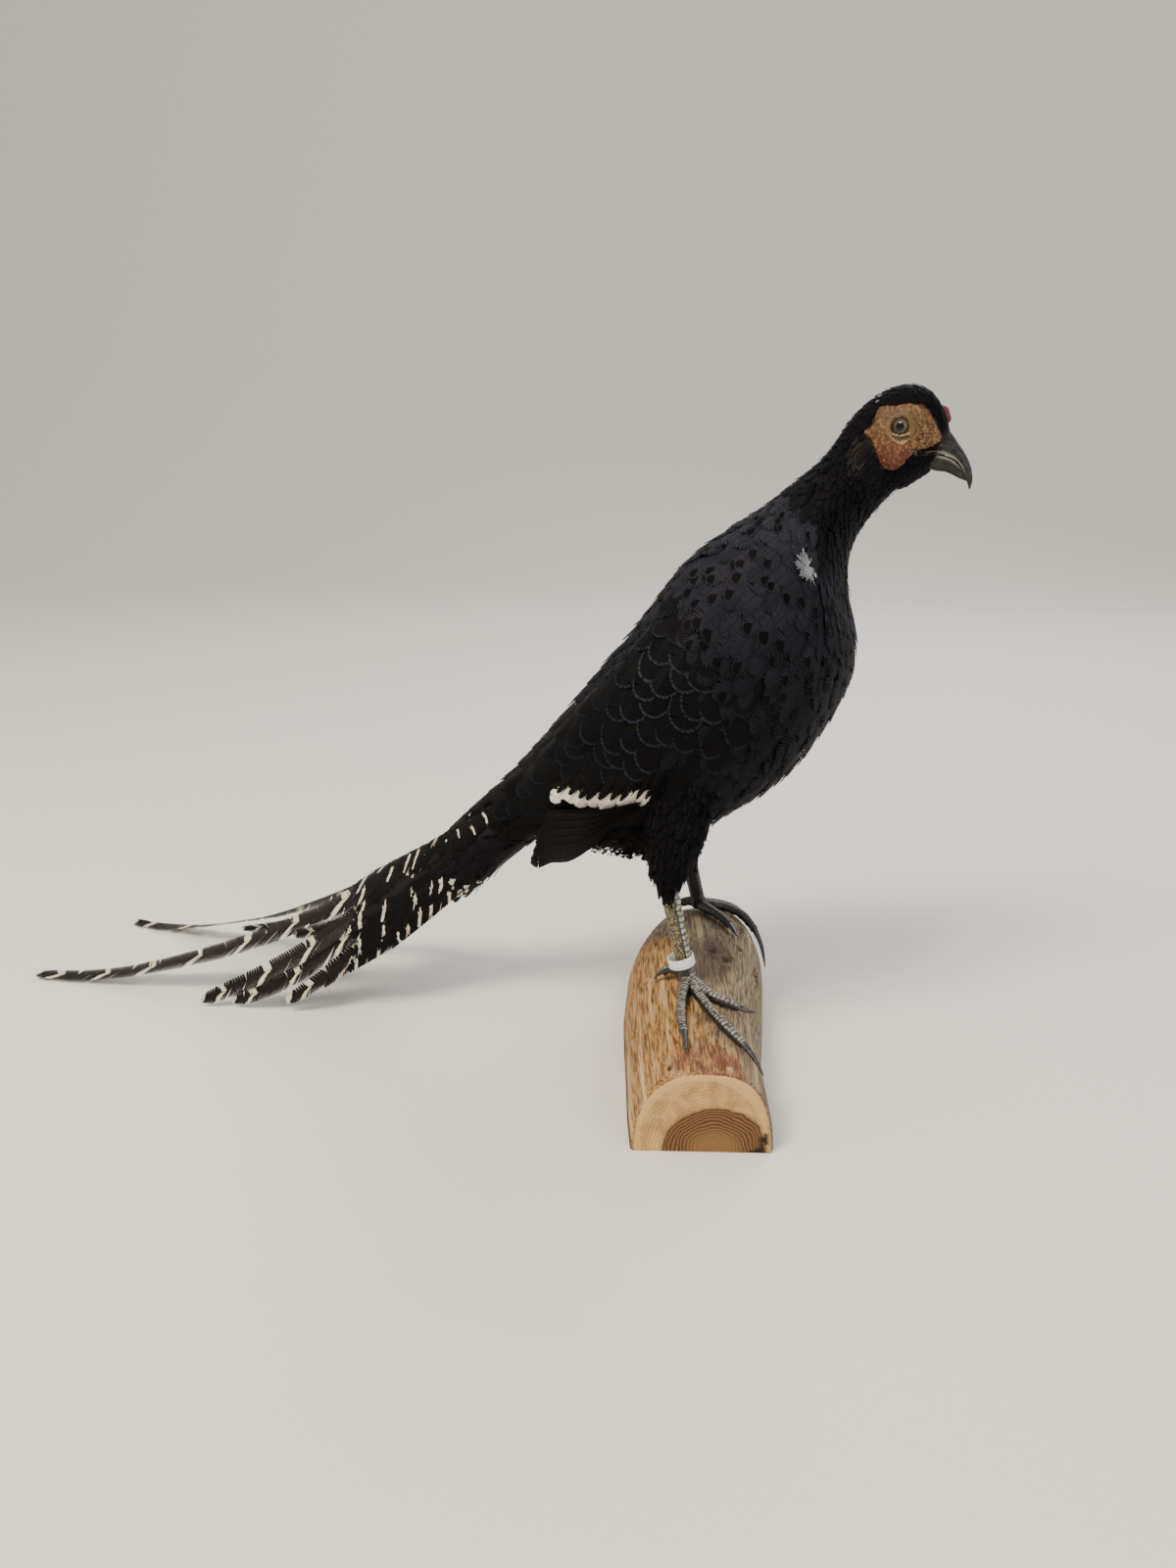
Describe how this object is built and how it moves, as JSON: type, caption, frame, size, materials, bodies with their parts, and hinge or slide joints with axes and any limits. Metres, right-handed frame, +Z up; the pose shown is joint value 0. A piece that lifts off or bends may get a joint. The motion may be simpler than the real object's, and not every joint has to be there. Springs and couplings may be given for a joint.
{
  "type": "taxidermy pheasant on a half log",
  "caption": "Mounted cock pheasant, dark scalloped wings, bare orange-brown face skin and a long barred tail, standing across a half log with a flat underside.",
  "frame": {"origin": "middle of the half log's flat underside, which stands on the shelf", "axes": "+X the way the bird's body heads, +Y to its left, +Z up"},
  "size_m": [0.6135, 0.222, 0.3905],
  "materials": {
    "body_feathers": "purplish black feathers, soft sheen, small black spots near their tips",
    "head_feathers": "short black feathers, faint blue gloss",
    "wing_feathers": "black feathers with steel blue fringes and one white bar",
    "tail_feathers": "brown-black feathers with narrow cream bars",
    "face_skin": "dry bare skin with small warts, ochre over red-brown",
    "bill_horn": "dull dark horn, paler along the cutting edge",
    "eye_glass": "glossy set glass eye, brown iris",
    "leg_scales": "dry scaled skin, olive grey shank and charcoal toes",
    "claw_horn": "dark horn, faint gloss",
    "ring_plastic": "white moulded plastic",
    "log_wood": "barkless weathered wood, long grain, sawn ends"
  },
  "bodies": {
    "root": {"log": "log_wood", "rump": "tail_feathers", "trunk": "body_feathers", "neck": "head_feathers", "head": "head_feathers", "bill_upper": "bill_horn", "bill_lower": "bill_horn", "eye_right": "eye_glass", "eye_left": "eye_glass", "wattle_right": "face_skin", "wattle_left": "face_skin", "wing_right": "wing_feathers", "wing_left": "wing_feathers", "primaries_right": "wing_feathers", "primaries_left": "wing_feathers", "thigh_right": "body_feathers", "thigh_left": "body_feathers", "tarsus_right": "leg_scales", "tarsus_left": "leg_scales", "foot_right": "leg_scales", "foot_left": "leg_scales", "leg_ring": "ring_plastic", "claw_right_outer": "claw_horn", "claw_right_middle": "claw_horn", "claw_right_inner": "claw_horn", "claw_right_hind": "claw_horn", "tail_feather_right_1": "tail_feathers", "tail_feather_right_2": "tail_feathers", "tail_feather_right_3": "tail_feathers", "tail_feather_right_4": "tail_feathers", "tail_feather_right_5": "tail_feathers", "tail_feather_right_6": "tail_feathers", "claw_left_outer": "claw_horn", "claw_left_middle": "claw_horn", "claw_left_inner": "claw_horn", "claw_left_hind": "claw_horn", "tail_feather_left_1": "tail_feathers", "tail_feather_left_2": "tail_feathers", "tail_feather_left_3": "tail_feathers", "tail_feather_left_4": "tail_feathers", "tail_feather_left_5": "tail_feathers", "tail_feather_left_6": "tail_feathers"}
  },
  "joints": []
}
